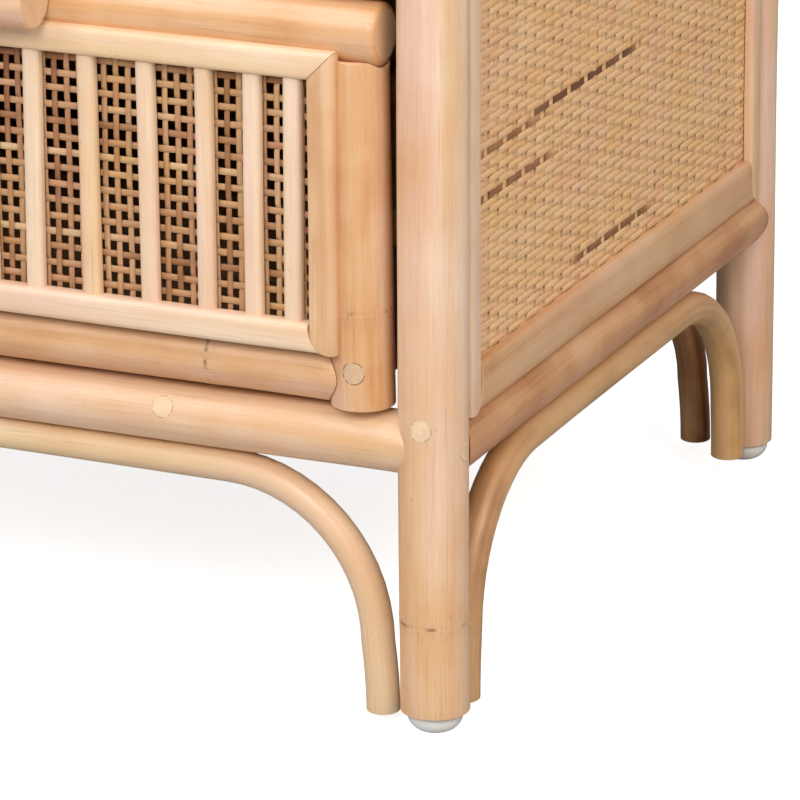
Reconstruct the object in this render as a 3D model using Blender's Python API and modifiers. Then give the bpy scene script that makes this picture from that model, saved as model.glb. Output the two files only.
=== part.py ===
"""A rattan nightstand with two drawers, built from its separate poles, battens, mats and boards.

Metres, +Z up, front at -Y. The origin is on the floor, under the middle of the whole piece.
Heights in the constants are measured from the cut lower end of the legs, depths (Y) from the
axes of the front legs, and both are moved to the origin by at().
"""

from math import cos, hypot, pi, radians, sin, sqrt

import bmesh
import bpy
from mathutils import Matrix, Vector

GAP = 0.0003
ROUND = 24

# The four legs
LEG_SPACING_X = 0.446
LEG_SPACING_Y = 0.392
FRONT_LEG_RADIUS = 0.0155
BACK_LEG_RADIUS = 0.0145
GLIDE_RADIUS = 0.0125
GLIDE_FLAT_RADIUS = 0.005
GLIDE_HEIGHT = 0.0094

# The poles between the legs: height of the axis, radius
FRONT_RAIL_RADIUS = 0.0139
SIDE_RAIL_RADIUS = 0.014
LOWER_RAIL_Z = 0.1232
LOWER_SIDE_RAIL_Z = 0.120
MIDDLE_RAIL_Z = 0.336
TOP_RAIL_Z = 0.5495
TOP_SIDE_RAIL_Z = TOP_RAIL_Z - (SIDE_RAIL_RADIUS - FRONT_RAIL_RADIUS)

# The thin bent poles under the lower rails
FRONT_ARCH_RADIUS = 0.0076
SIDE_ARCH_RADIUS = 0.0081
ARCH_BEND_RADIUS = 0.0716
ARCH_BEND_END_Z = 0.0285
ARCH_LEAN = 0.002
SIDE_ARCH_OUTWARD = 0.0025
ARCH_STEPS = 7

# How far each arch's feet stand clear of the legs, and the height of their cut ends
ARCH_FEET = {
    "front": ((0.0014, -0.004), (0.0014, -0.004)),
    "back": ((0.0029, -0.003), (0.0029, -0.003)),
    "side": ((0.0, -0.003), (0.0064, 0.0015)),
}

# The woven panels of the sides and the back, and the battens that frame them
MAT_INNER = 0.0035
MAT_OUTER = 0.0072
BATTEN_OUTER = 0.0124
WIDE_BATTEN = 0.022
NARROW_BATTEN = 0.0118

# The top: a round-pole border around a board, with a woven mat inside the battens on the board
TOP_POLE_RADIUS = 0.014
TOP_POLE_OUTWARD = 0.003
TOP_BOARD_THICKNESS = 0.012
TOP_BOARD_ABOVE_AXIS = 0.004
TOP_BOARD_INTO_POLE = 0.006
TOP_BATTEN_WIDTH = 0.012
TOP_BATTEN_THICKNESS = 0.005
TOP_MAT_THICKNESS = 0.0017

# The drawer fronts, with heights for the lower drawer
DRAWER_PITCH = 0.213
DRAWER_POLE_Y = -0.002
STILE_X = LEG_SPACING_X / 2 - 0.0337
STILE_RADIUS = 0.0143
STILE_FOOT_Z = 0.1394
BOTTOM_POLE_Z = 0.1524
BOTTOM_POLE_RADIUS = 0.0131
TOP_POLE_Z = 0.3065
DRAWER_TOP_POLE_RADIUS = 0.0142
TOP_POLE_HALF_WIDTH = STILE_X + 0.0129
STILE_SHOULDER = 0.0106

# The battens and slats on the drawer fronts
FRONT_BATTEN_WIDTH = 0.0135
FRONT_BATTEN_OUTER_X = LEG_SPACING_X / 2 - 0.0378
FRONT_BATTEN_BOTTOM_Z = 0.1645
FRONT_BATTEN_TOP_Z = 0.3005
FRONT_BATTEN_BACK_Y = -0.013
FRONT_BATTEN_FRONT_Y = -0.020
SLAT_WIDTH = 0.0089
SLAT_FRONT_Y = -0.0175
SLAT_TUCK = 0.004
SLAT_OFFSETS = (0.0138, 0.0376, 0.0648, 0.0938, 0.1217, 0.1441, 0.1630)
CANE_BACK_Y = -0.0102
CANE_FRONT_Y = -0.0117
CANE_HALF_WIDTH = 0.1755
CANE_BOTTOM_Z = 0.1636
CANE_TOP_Z = 0.2943

# The pull
PULL_RADIUS = 0.0135
PULL_LENGTH = 0.0975
PULL_ABOVE_TOP_POLE = 0.0066

# The drawer boxes and the wooden runners that carry them
BOX_OUTER_X = 0.196
BOX_BOARD = 0.012
BOX_FRONT_Y = 0.0103
BOX_BACK_Y = 0.352
BOX_BOTTOM_Z = 0.148
BOX_TOP_Z = 0.282
BOX_FLOOR_Z = 0.152
BOX_FLOOR_THICKNESS = 0.005
GROOVE_DEPTH = 0.006
GROOVE_FRONT_Y = 0.0143
RUNNER_HEIGHT = 0.016
RUNNER_PLAY = 0.0006
RUNNER_OUTER_X = LEG_SPACING_X / 2 - 0.002
RUNNER_FRONT_Y = 0.0149

HALF_X = LEG_SPACING_X / 2
PULL_Y = DRAWER_POLE_Y - sqrt(
    (DRAWER_TOP_POLE_RADIUS + PULL_RADIUS + GAP) ** 2 - PULL_ABOVE_TOP_POLE**2
)
FRONT_MOST = PULL_Y - PULL_RADIUS
BACK_MOST = LEG_SPACING_Y + TOP_POLE_OUTWARD + TOP_POLE_RADIUS
MIDDLE_Y = (FRONT_MOST + BACK_MOST) / 2
LEG_TOP_Z = TOP_RAIL_Z + FRONT_RAIL_RADIUS
TOP_BORDER_Z = LEG_TOP_Z + GAP + TOP_POLE_RADIUS

COLOURS = {
    "pole": ((0.76, 0.53, 0.33), 0.38),
    "pale_pole": ((0.80, 0.60, 0.41), 0.42),
    "arch_pole": ((0.72, 0.48, 0.28), 0.40),
    "batten": ((0.74, 0.52, 0.32), 0.45),
    "mat": ((0.66, 0.42, 0.22), 0.60),
    "cane": ((0.52, 0.34, 0.18), 0.65),
    "board": ((0.70, 0.52, 0.34), 0.60),
    "white_plastic": ((0.85, 0.85, 0.84), 0.35),
}


def clear_scene():
    for obj in list(bpy.data.objects):
        bpy.data.objects.remove(obj)


def new_collection(name):
    collection = bpy.data.collections.new(name)
    bpy.context.scene.collection.children.link(collection)
    return collection


clear_scene()
PARTS = new_collection("rattan_nightstand")
CUTTERS = new_collection("cutters")


def at(x, y, z):
    """A point given from the leg axes and the leg ends, moved to the origin under the middle."""
    return Vector((x, y - MIDDLE_Y, z + GLIDE_HEIGHT))


def material(name, node_name):
    colour, roughness = COLOURS[name]
    found = bpy.data.materials.new(f"{node_name}_{name}")
    found.use_nodes = True
    shader = found.node_tree.nodes["Principled BSDF"]
    shader.inputs["Base Color"].default_value = (*colour, 1)
    shader.inputs["Roughness"].default_value = roughness
    shader.inputs["Metallic"].default_value = 0
    return found


def add_object(name, data, colour=None, smooth=False):
    """An object of the part, or a cutter where no colour is given."""
    obj = bpy.data.objects.new(name, data)
    if colour is None:
        CUTTERS.objects.link(obj)
        obj.hide_render = True
        obj.display_type = "WIRE"
        return obj
    PARTS.objects.link(obj)
    data.materials.append(material(colour, name))
    if smooth:
        data.shade_smooth()
        data.set_sharp_from_angle(angle=radians(40))
    return obj


def mesh_from(bm, name):
    mesh = bpy.data.meshes.new(name)
    bmesh.ops.recalc_face_normals(bm, faces=bm.faces)
    bm.to_mesh(mesh)
    bm.free()
    return mesh


def box(name, low, high, colour=None):
    """A board between two corners."""
    low, high = Vector(low), Vector(high)
    bm = bmesh.new()
    bmesh.ops.create_cube(bm, size=1)
    bmesh.ops.scale(bm, vec=high - low, verts=bm.verts)
    obj = add_object(name, mesh_from(bm, name), colour)
    obj.location = (low + high) / 2
    return obj


def round_bar(length, radius, sides=ROUND):
    """A cylinder along X, centred on the origin, in a new bmesh."""
    bm = bmesh.new()
    bmesh.ops.create_cone(
        bm, cap_ends=True, segments=sides, radius1=radius, radius2=radius, depth=length
    )
    turn = Matrix.Rotation(pi / 2, 3, "Y") @ Matrix.Rotation(pi / sides, 3, "Z")
    bmesh.ops.rotate(bm, verts=bm.verts, matrix=turn)
    return bm


def pole(name, start, end, radius, colour=None, sides=ROUND):
    """A straight round pole between two points."""
    start, end = Vector(start), Vector(end)
    bm = round_bar((end - start).length, radius, sides)
    obj = add_object(name, mesh_from(bm, name), colour, smooth=True)
    obj.location = (start + end) / 2
    obj.rotation_euler = (end - start).to_track_quat("X", "Z").to_euler()
    return obj


def boolean(obj, other, operation):
    modifier = obj.modifiers.new(f"{operation.lower()}_{other.name}", "BOOLEAN")
    modifier.operation = operation
    modifier.solver = "EXACT"
    modifier.object = other


def cope(obj, cutters):
    """Cuts the ends of a piece to fit around others, as a fish-mouth joint."""
    for cutter in cutters:
        boolean(obj, cutter, "DIFFERENCE")


def half_round(length, width, thickness, sides=16):
    """A split pole along X, in a new bmesh: flat at Z = 0 and rounded towards +Z."""
    bm = round_bar(length, width / 2, sides)
    bmesh.ops.scale(bm, vec=(1, 1, 2 * thickness / width), verts=bm.verts)
    geometry = bm.verts[:] + bm.edges[:] + bm.faces[:]
    cut = bmesh.ops.bisect_plane(bm, geom=geometry, plane_co=(0, 0, 0), plane_no=(0, 0, -1), clear_outer=True)
    edges = [part for part in cut["geom_cut"] if isinstance(part, bmesh.types.BMEdge)]
    bmesh.ops.contextual_create(bm, geom=edges)
    return bm


def absorb(bm, other):
    """Moves one bmesh's geometry into another."""
    carrier = bpy.data.meshes.new("carrier")
    other.to_mesh(carrier)
    other.free()
    bm.from_mesh(carrier)
    bpy.data.meshes.remove(carrier)


def batten_frame(name, width, height, upright, cross, thickness, colour):
    """Four split poles mitred into a frame in the XZ plane, flat side at Y = 0, rounded towards -Y.

    upright and cross are the widths of the standing and of the lying battens. The mitres run from
    the outer corners to the inner ones, and the bars are welded along them.
    """
    frame = bmesh.new()
    bars = ((width, cross, upright, height, 0), (height, upright, cross, width, pi / 2))
    bars += ((width, cross, upright, height, pi), (height, upright, cross, width, -pi / 2))
    for length, own, other, apart, turn in bars:
        bar = half_round(length, own, thickness)
        for vert in bar.verts:
            side = 1 if vert.co.x > 0 else -1
            vert.co.x -= side * (own / 2 - vert.co.y) * other / own
        ends = [face for face in bar.faces if len({vert.co.x > 0 for vert in face.verts}) == 1]
        bmesh.ops.delete(bar, geom=ends, context="FACES_ONLY")
        bmesh.ops.translate(bar, verts=bar.verts, vec=(0, apart / 2 - own / 2, 0))
        bmesh.ops.rotate(bar, verts=bar.verts, matrix=Matrix.Rotation(turn, 3, "Z"))
        absorb(frame, bar)
    bmesh.ops.remove_doubles(frame, verts=frame.verts, dist=0.00001)
    bmesh.ops.rotate(frame, verts=frame.verts, matrix=Matrix.Rotation(pi / 2, 3, "X"))
    return add_object(name, mesh_from(frame, name), colour, smooth=True)


def place(objects, location, turn=0.0):
    for obj in objects:
        obj.location = location
        obj.rotation_euler = (0, 0, turn)


def parent_all(objects, empty):
    for obj in objects:
        obj.parent = empty
        obj.matrix_parent_inverse = Matrix.Translation(empty.location).inverted()


SIDES = (("left", -1), ("right", 1))
ENDS = (("front", 0.0, FRONT_LEG_RADIUS), ("back", LEG_SPACING_Y, BACK_LEG_RADIUS))


def glide_profile(bm):
    """Half of the dome's section, from the leg's end down to the flat it stands on."""
    rim = 0.002
    steps = 5
    points = [(0, -GAP), (GLIDE_RADIUS, -GAP), (GLIDE_RADIUS, -rim)]
    for step in range(1, steps + 1):
        turn = pi / 2 * step / steps
        across = GLIDE_FLAT_RADIUS + (GLIDE_RADIUS - GLIDE_FLAT_RADIUS) * cos(turn)
        points.append((across, -rim - (GLIDE_HEIGHT - rim) * sin(turn)))
    points.append((0, -GLIDE_HEIGHT))
    verts = [bm.verts.new((x, 0, z)) for x, z in points]
    for first, second in zip(verts, verts[1:]):
        bm.edges.new((first, second))


def make_legs():
    """The legs, with a cutter around each for the pieces that meet them."""
    cutters = {}
    for end, y, radius in ENDS:
        for side, sign in SIDES:
            low, high = at(sign * HALF_X, y, 0), at(sign * HALF_X, y, LEG_TOP_Z)
            pole(f"leg_{end}_{side}", low, high, radius, "pole")
            reach = Vector((0, 0, 0.01))
            cutters[end, side] = pole(f"cut_leg_{end}_{side}", low - reach, high + reach, radius + GAP)
            bm = bmesh.new()
            glide_profile(bm)
            mesh = bpy.data.meshes.new(f"glide_{end}_{side}")
            bm.to_mesh(mesh)
            bm.free()
            glide = add_object(f"glide_{end}_{side}", mesh, "white_plastic")
            glide.location = low
            turned = glide.modifiers.new("turned", "SCREW")
            turned.steps = turned.render_steps = 20
            turned.use_merge_vertices = True
            turned.merge_threshold = 0.0001
            turned.use_smooth_shade = True
    return cutters


def make_rails(legs):
    """The round rails between the legs, coped around them; the side rails also clear the end rails."""
    levels = (("lower", LOWER_RAIL_Z, LOWER_SIDE_RAIL_Z), ("top", TOP_RAIL_Z, TOP_SIDE_RAIL_Z))
    for level, end_z, side_z in levels:
        around = []
        for end, y, _ in ENDS:
            ends = at(-HALF_X, y, end_z), at(HALF_X, y, end_z)
            rail = pole(f"rail_{level}_{end}", *ends, FRONT_RAIL_RADIUS, "pole")
            cope(rail, (legs[end, "left"], legs[end, "right"]))
            around.append(pole(f"cut_{level}_{end}", *ends, FRONT_RAIL_RADIUS + GAP))
        for side, sign in SIDES:
            ends = at(sign * HALF_X, 0, side_z), at(sign * HALF_X, LEG_SPACING_Y, side_z)
            rail = pole(f"rail_{level}_{side}", *ends, SIDE_RAIL_RADIUS, "pole")
            cope(rail, (legs["front", side], legs["back", side], *around))
    ends = at(-HALF_X, 0, MIDDLE_RAIL_Z), at(HALF_X, 0, MIDDLE_RAIL_Z)
    rail = pole("rail_middle_front", *ends, FRONT_RAIL_RADIUS, "pole")
    cope(rail, (legs["front", "left"], legs["front", "right"]))


def arch_half(span, top_z, reach, foot):
    """The line of a bent pole from one foot: up beside the leg and round a quarter bend."""
    inset, foot_z = foot
    start = -span / 2 + reach + inset
    points = [(start, foot_z)]
    centre = start + ARCH_LEAN + ARCH_BEND_RADIUS
    bend_height = top_z - ARCH_BEND_END_Z
    for step in range(ARCH_STEPS + 1):
        turn = pi / 2 * step / ARCH_STEPS
        points.append((centre - ARCH_BEND_RADIUS * cos(turn), ARCH_BEND_END_Z + bend_height * sin(turn)))
    return points


def make_arch(name, span, top_z, radius, reaches, feet, centre, turn):
    """One arch along its own X, placed and turned under a rail. The reaches clear the legs."""
    curve = bpy.data.curves.new(name, "CURVE")
    curve.dimensions = "3D"
    curve.bevel_depth = radius
    curve.bevel_resolution = 3
    curve.use_fill_caps = True
    points = arch_half(span, top_z, reaches[0], feet[0])
    points += [(-along, z) for along, z in reversed(arch_half(span, top_z, reaches[1], feet[1]))]
    spline = curve.splines.new("POLY")
    spline.points.add(len(points) - 1)
    for point, (along, z) in zip(spline.points, points):
        point.co = (along, 0, z, 1)
    obj = add_object(name, curve, "arch_pole")
    obj.location = centre
    obj.rotation_euler = (0, 0, turn)


def make_arches():
    end_z = LOWER_RAIL_Z - (FRONT_RAIL_RADIUS + FRONT_ARCH_RADIUS + GAP)
    side_apart = SIDE_RAIL_RADIUS + SIDE_ARCH_RADIUS + GAP
    side_z = LOWER_SIDE_RAIL_Z - sqrt(side_apart**2 - SIDE_ARCH_OUTWARD**2)
    for end, y, leg_radius in ENDS:
        reach = leg_radius + GAP + FRONT_ARCH_RADIUS
        args = (LEG_SPACING_X, end_z, FRONT_ARCH_RADIUS, (reach, reach), ARCH_FEET[end])
        make_arch(f"arch_{end}", *args, at(0, y, 0), 0)
    for side, sign in SIDES:
        aparts = [leg_radius + GAP + SIDE_ARCH_RADIUS for _, _, leg_radius in ENDS]
        reaches = [sqrt(apart**2 - SIDE_ARCH_OUTWARD**2) for apart in aparts]
        centre = at(sign * (HALF_X + SIDE_ARCH_OUTWARD), LEG_SPACING_Y / 2, 0)
        args = (LEG_SPACING_Y, side_z, SIDE_ARCH_RADIUS, reaches, ARCH_FEET["side"])
        make_arch(f"arch_{side}", *args, centre, pi / 2)


def make_wall(name, span, rail_radius, rails, leg_radius, centre_x, centre_y, turn):
    """A woven panel between two legs, with its batten frame on the outside, facing -Y before turning."""

    def clear(offset):
        """Half the length and the middle height free for a board this far out from the leg axes."""
        half_length = span / 2 - sqrt(leg_radius**2 - offset**2) - 2 * GAP
        rail_clear = sqrt(rail_radius**2 - offset**2) + 2 * GAP
        low, high = rails[0] + rail_clear, rails[1] - rail_clear
        return half_length, (high - low) / 2, at(centre_x, centre_y, (low + high) / 2)

    out = Matrix.Rotation(turn, 3, "Z") @ Vector((0, -1, 0))
    half_length, half_height, centre = clear(MAT_INNER)
    corner = Vector((half_length, (MAT_OUTER - MAT_INNER) / 2, half_height))
    mat = box(f"mat_{name}", -corner, corner, "mat")
    place([mat], centre + out * (MAT_INNER + MAT_OUTER) / 2, turn)
    batten_back = MAT_OUTER + GAP
    half_length, half_height, centre = clear(batten_back)
    widths = (NARROW_BATTEN, WIDE_BATTEN)
    size = (2 * half_length, 2 * half_height)
    battens = batten_frame(f"battens_{name}", *size, *widths, BATTEN_OUTER - batten_back, "batten")
    place([battens], centre + out * batten_back, turn)


def make_walls():
    for side, sign in SIDES:
        rails = (LOWER_SIDE_RAIL_Z, TOP_SIDE_RAIL_Z)
        args = (LEG_SPACING_Y, SIDE_RAIL_RADIUS, rails, FRONT_LEG_RADIUS)
        make_wall(side, *args, sign * HALF_X, LEG_SPACING_Y / 2, sign * pi / 2)
    args = (LEG_SPACING_X, FRONT_RAIL_RADIUS, (LOWER_RAIL_Z, TOP_RAIL_Z), BACK_LEG_RADIUS)
    make_wall("back", *args, 0, LEG_SPACING_Y, pi)


def make_top():
    """The mitred border of round poles, the board grooved into it, and the battens and mat on the board."""
    half_x = HALF_X + TOP_POLE_OUTWARD
    half_y = LEG_SPACING_Y / 2 + TOP_POLE_OUTWARD
    centre = at(0, LEG_SPACING_Y / 2, TOP_BORDER_Z)
    reach = TOP_POLE_RADIUS - TOP_BOARD_INTO_POLE
    corner = Vector((half_x - reach, half_y - reach, 0))
    top = Vector((0, 0, TOP_BOARD_ABOVE_AXIS))
    under = top - Vector((0, 0, TOP_BOARD_THICKNESS))
    play = Vector((GAP, GAP, GAP))
    box("top_board", centre - corner + under, centre + corner + top, "board")
    groove = box("cut_top_groove", centre - corner + under - play, centre + corner + top + play)
    borders = (("front", 0, half_x, half_y), ("right", 1, half_y, half_x))
    borders += (("back", 2, half_x, half_y), ("left", 3, half_y, half_x))
    for name, quarter, half_length, outward in borders:
        bm = round_bar(2 * half_length, TOP_POLE_RADIUS)
        for vert in bm.verts:
            side = 1 if vert.co.x > 0 else -1
            vert.co.x -= side * (vert.co.y + GAP)
        border = add_object(f"top_border_{name}", mesh_from(bm, name), "pole", smooth=True)
        turn = quarter * pi / 2
        border.location = centre + Matrix.Rotation(turn, 3, "Z") @ Vector((0, -outward, 0))
        border.rotation_euler = (0, 0, turn)
        boolean(border, groove, "DIFFERENCE")
    edge = sqrt(TOP_POLE_RADIUS**2 - (TOP_BOARD_ABOVE_AXIS + GAP) ** 2) + GAP
    battens = batten_frame(
        "battens_top",
        2 * (half_x - edge),
        2 * (half_y - edge),
        TOP_BATTEN_WIDTH,
        TOP_BATTEN_WIDTH,
        TOP_BATTEN_THICKNESS,
        "batten",
    )
    battens.location = centre + top + Vector((0, 0, GAP))
    battens.rotation_euler = (-pi / 2, 0, 0)
    inset = edge + TOP_BATTEN_WIDTH + GAP
    corner = Vector((half_x - inset, half_y - inset, 0))
    low = centre + top + Vector((0, 0, GAP))
    box("mat_top", low - corner, low + corner + Vector((0, 0, TOP_MAT_THICKNESS)), "mat")


def make_runners(legs):
    """Two wooden runners for each drawer, coped around the legs that they are screwed to."""
    middle_z = (BOX_BOTTOM_Z + BOX_TOP_Z) / 2
    inner_x = BOX_OUTER_X - GROOVE_DEPTH + RUNNER_PLAY
    back_y = LEG_SPACING_Y - RUNNER_FRONT_Y + 0.001
    for drawer, lift in (("lower", 0.0), ("upper", DRAWER_PITCH)):
        low_z = middle_z - RUNNER_HEIGHT / 2 + lift
        for side, sign in SIDES:
            across = sorted((sign * inner_x, sign * RUNNER_OUTER_X))
            low = at(across[0], RUNNER_FRONT_Y, low_z)
            high = at(across[1], back_y, low_z + RUNNER_HEIGHT)
            runner = box(f"runner_{drawer}_{side}", low, high, "board")
            cope(runner, (legs["front", side], legs["back", side]))


def make_front_poles(drawer, lift):
    """The two stiles and two cross poles of a drawer front, coped together and rebated for the battens."""
    foot_z, bottom_z, top_z = STILE_FOOT_Z + lift, BOTTOM_POLE_Z + lift, TOP_POLE_Z + lift
    y = DRAWER_POLE_Y
    rebate_low = at(-FRONT_BATTEN_OUTER_X - GAP, -0.05, FRONT_BATTEN_BOTTOM_Z + lift - GAP)
    rebate_high = at(FRONT_BATTEN_OUTER_X + GAP, FRONT_BATTEN_BACK_Y + GAP, FRONT_BATTEN_TOP_Z + lift + GAP)
    rebate = box(f"cut_{drawer}_rebate", rebate_low, rebate_high)
    ends = at(-TOP_POLE_HALF_WIDTH, y, top_z), at(TOP_POLE_HALF_WIDTH, y, top_z)
    top_pole = pole(f"{drawer}_drawer_top_pole", *ends, DRAWER_TOP_POLE_RADIUS, "pole")
    boolean(top_pole, rebate, "DIFFERENCE")
    reach = Vector((0.01, 0, 0))
    cutter_ends = ends[0] - reach, ends[1] + reach
    top_cutter = pole(f"cut_{drawer}_top_pole", *cutter_ends, DRAWER_TOP_POLE_RADIUS + GAP)
    ends = at(-STILE_X, y, bottom_z), at(STILE_X, y, bottom_z)
    bottom_pole = pole(f"{drawer}_drawer_bottom_pole", *ends, BOTTOM_POLE_RADIUS, "pole")
    made = [top_pole, bottom_pole]
    for side, sign in SIDES:
        low, high = at(sign * STILE_X, y, foot_z), at(sign * STILE_X, y, top_z)
        stile = pole(f"{drawer}_drawer_stile_{side}", low, high, STILE_RADIUS, "pole")
        flat_low = at(sign * BOX_OUTER_X - 0.03, BOX_FRONT_Y - GAP, BOX_BOTTOM_Z + lift - GAP)
        flat_high = at(sign * BOX_OUTER_X + 0.03, 0.05, BOX_TOP_Z + lift + GAP)
        flat = box(f"cut_{drawer}_flat_{side}", flat_low, flat_high)
        shoulder_low = high - Vector((0.03, 0.03, STILE_SHOULDER))
        shoulder = box(f"cut_{drawer}_shoulder_{side}", shoulder_low, high + Vector((0.03, 0.03, 0.01)))
        for cutter in (top_cutter, rebate, flat, shoulder):
            boolean(stile, cutter, "DIFFERENCE")
        cutter = pole(f"cut_{drawer}_stile_{side}", low, high, STILE_RADIUS + GAP)
        boolean(bottom_pole, cutter, "DIFFERENCE")
        made.append(stile)
    return made


def make_grille(drawer, lift):
    """The mitred batten frame with its upright slats, one piece as they are pinned together."""
    width = 2 * FRONT_BATTEN_OUTER_X
    height = FRONT_BATTEN_TOP_Z - FRONT_BATTEN_BOTTOM_Z
    thickness = FRONT_BATTEN_BACK_Y - FRONT_BATTEN_FRONT_Y
    args = (width, height, FRONT_BATTEN_WIDTH, FRONT_BATTEN_WIDTH, thickness, "pale_pole")
    grille = batten_frame(f"{drawer}_drawer_grille", *args)
    slat_length = height - 2 * FRONT_BATTEN_WIDTH + 2 * SLAT_TUCK
    slats = bmesh.new()
    for offset in SLAT_OFFSETS:
        for sign in (-1, 1):
            slat = half_round(slat_length, SLAT_WIDTH, FRONT_BATTEN_BACK_Y - SLAT_FRONT_Y, 12)
            bmesh.ops.rotate(slat, verts=slat.verts, matrix=Matrix.Rotation(pi / 2, 3, "Z"))
            bmesh.ops.rotate(slat, verts=slat.verts, matrix=Matrix.Rotation(pi / 2, 3, "X"))
            bmesh.ops.translate(slat, verts=slat.verts, vec=(sign * offset, -GAP / 2, 0))
            absorb(slats, slat)
    slat_row = add_object(f"cut_{drawer}_slats", mesh_from(slats, f"{drawer}_slats"))
    boolean(grille, slat_row, "UNION")
    middle_z = (FRONT_BATTEN_TOP_Z + FRONT_BATTEN_BOTTOM_Z) / 2 + lift
    place([grille, slat_row], at(0, FRONT_BATTEN_BACK_Y, middle_z))
    return [grille, slat_row]


def make_box(drawer, lift):
    """The open drawer box behind the front: grooved sides, back and floor."""
    inner_x = BOX_OUTER_X - BOX_BOARD
    bottom_z, top_z = BOX_BOTTOM_Z + lift, BOX_TOP_Z + lift
    made = []
    groove_half = RUNNER_HEIGHT / 2 + RUNNER_PLAY
    middle_z = (bottom_z + top_z) / 2
    for side, sign in SIDES:
        across = sorted((sign * inner_x, sign * BOX_OUTER_X))
        name = f"{drawer}_drawer_side_{side}"
        board = box(name, at(across[0], BOX_FRONT_Y, bottom_z), at(across[1], BOX_BACK_Y, top_z), "board")
        across = sorted((sign * (BOX_OUTER_X - GROOVE_DEPTH), sign * (BOX_OUTER_X + 0.01)))
        low = at(across[0], GROOVE_FRONT_Y, middle_z - groove_half)
        high = at(across[1], BOX_BACK_Y + 0.01, middle_z + groove_half)
        boolean(board, box(f"cut_{drawer}_groove_{side}", low, high), "DIFFERENCE")
        made.append(board)
    between = inner_x - GAP
    back_front_y = BOX_BACK_Y - BOX_BOARD
    name = f"{drawer}_drawer_back"
    made.append(box(name, at(-between, back_front_y, bottom_z), at(between, BOX_BACK_Y, top_z), "board"))
    floor_z = BOX_FLOOR_Z + lift
    floor_front_y = DRAWER_POLE_Y + BOTTOM_POLE_RADIUS + GAP
    low = at(-between, floor_front_y, floor_z)
    high = at(between, back_front_y - GAP, floor_z + BOX_FLOOR_THICKNESS)
    made.append(box(f"{drawer}_drawer_floor", low, high, "board"))
    return made


def make_pull(drawer, lift):
    """A short level pole, screwed to the top pole from behind."""
    z = TOP_POLE_Z + PULL_ABOVE_TOP_POLE + lift
    ends = at(-PULL_LENGTH / 2, PULL_Y, z), at(PULL_LENGTH / 2, PULL_Y, z)
    return pole(f"{drawer}_drawer_pull", *ends, PULL_RADIUS, "pole")


def make_drawer(drawer, lift):
    """Everything that slides out together, under an empty on the slide's line."""
    made = make_front_poles(drawer, lift)
    made += make_grille(drawer, lift)
    low = at(-CANE_HALF_WIDTH, CANE_FRONT_Y, CANE_BOTTOM_Z + lift)
    high = at(CANE_HALF_WIDTH, CANE_BACK_Y, CANE_TOP_Z + lift)
    made.append(box(f"{drawer}_drawer_cane", low, high, "cane"))
    made += make_box(drawer, lift)
    made.append(make_pull(drawer, lift))
    slide = bpy.data.objects.new(f"{drawer}_drawer_slide", None)
    PARTS.objects.link(slide)
    slide.location = at(0, 0, (BOX_BOTTOM_Z + BOX_TOP_Z) / 2 + lift)
    parent_all(made, slide)


leg_cutters = make_legs()
make_rails(leg_cutters)
make_arches()
make_walls()
make_top()
make_runners(leg_cutters)
make_drawer("lower", 0.0)
make_drawer("upper", DRAWER_PITCH)
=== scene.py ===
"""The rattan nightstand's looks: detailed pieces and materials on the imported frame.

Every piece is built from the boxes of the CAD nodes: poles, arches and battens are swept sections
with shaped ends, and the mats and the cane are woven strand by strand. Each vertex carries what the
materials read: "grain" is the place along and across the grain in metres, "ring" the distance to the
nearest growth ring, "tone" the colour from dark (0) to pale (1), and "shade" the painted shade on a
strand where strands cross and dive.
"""

import zlib
from math import cos, pi, radians, sin

import bpy
import numpy as np
from mathutils import Matrix, Vector
from mathutils.bvhtree import BVHTree


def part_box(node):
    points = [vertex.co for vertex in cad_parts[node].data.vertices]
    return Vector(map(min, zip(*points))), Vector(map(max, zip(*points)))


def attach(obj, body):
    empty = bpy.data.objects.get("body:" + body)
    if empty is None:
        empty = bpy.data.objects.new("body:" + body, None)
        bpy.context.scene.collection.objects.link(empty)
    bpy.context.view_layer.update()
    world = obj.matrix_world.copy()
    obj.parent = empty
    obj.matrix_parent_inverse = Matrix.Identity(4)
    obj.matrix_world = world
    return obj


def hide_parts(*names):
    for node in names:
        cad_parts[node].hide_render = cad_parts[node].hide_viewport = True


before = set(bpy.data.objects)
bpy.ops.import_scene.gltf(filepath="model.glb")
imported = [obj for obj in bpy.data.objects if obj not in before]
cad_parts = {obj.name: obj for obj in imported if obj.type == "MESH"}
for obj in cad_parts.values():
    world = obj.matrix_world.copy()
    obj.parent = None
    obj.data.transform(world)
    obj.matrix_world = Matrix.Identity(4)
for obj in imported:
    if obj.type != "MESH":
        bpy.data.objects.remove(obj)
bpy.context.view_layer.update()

X, Y, Z = np.eye(3)

# The gap between touching pieces, and the finer one in a mitred joint
GAP = 0.0003
MITRE_GAP = 0.00012
ROUND_SIDES = 48
# A CAD pole has 24 sides, so its box is this share of its true thickness
CAD_FLATNESS = cos(pi / 24)

# Spacing of a pole's rows, and the length over which a cut end bends them
ROW = 0.008
CUT_BLEND = 0.045
# How far the edges of the ends are rounded
EDGE = 0.0005
BATTEN_EDGE = 0.0004
TOP_POLE_EDGE = 0.0032
PULL_EDGE = 0.0018
# The inner rows of an end's face, as shares of the section
CAP_SHARES = (0.86, 0.5, 0.2)
# Sideways sway of a pole, kept out of its last stretch at each end
SWAY = 0.0003
SWAY_START = 0.05
# Growth rings: rows round one, its swelling and groove, and their half widths
RING_ROWS = np.array((-7.0, -5.0, -3.5, -2.2, -1.2, -0.6, 0.0, 0.6, 1.2, 2.2, 3.5, 5.0, 7.0)) / 1000
RING_SWELL = 0.00022
RING_SWELL_WIDTH = 0.0035
RING_GROOVE = 0.00016
RING_GROOVE_WIDTH = 0.0006
# The distance that stands for no growth ring near
FAR = 1.0


def at(x, y, z):
    return np.array((x, y, z))


def seeded(name):
    return np.random.default_rng(zlib.crc32(name.encode()))


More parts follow.
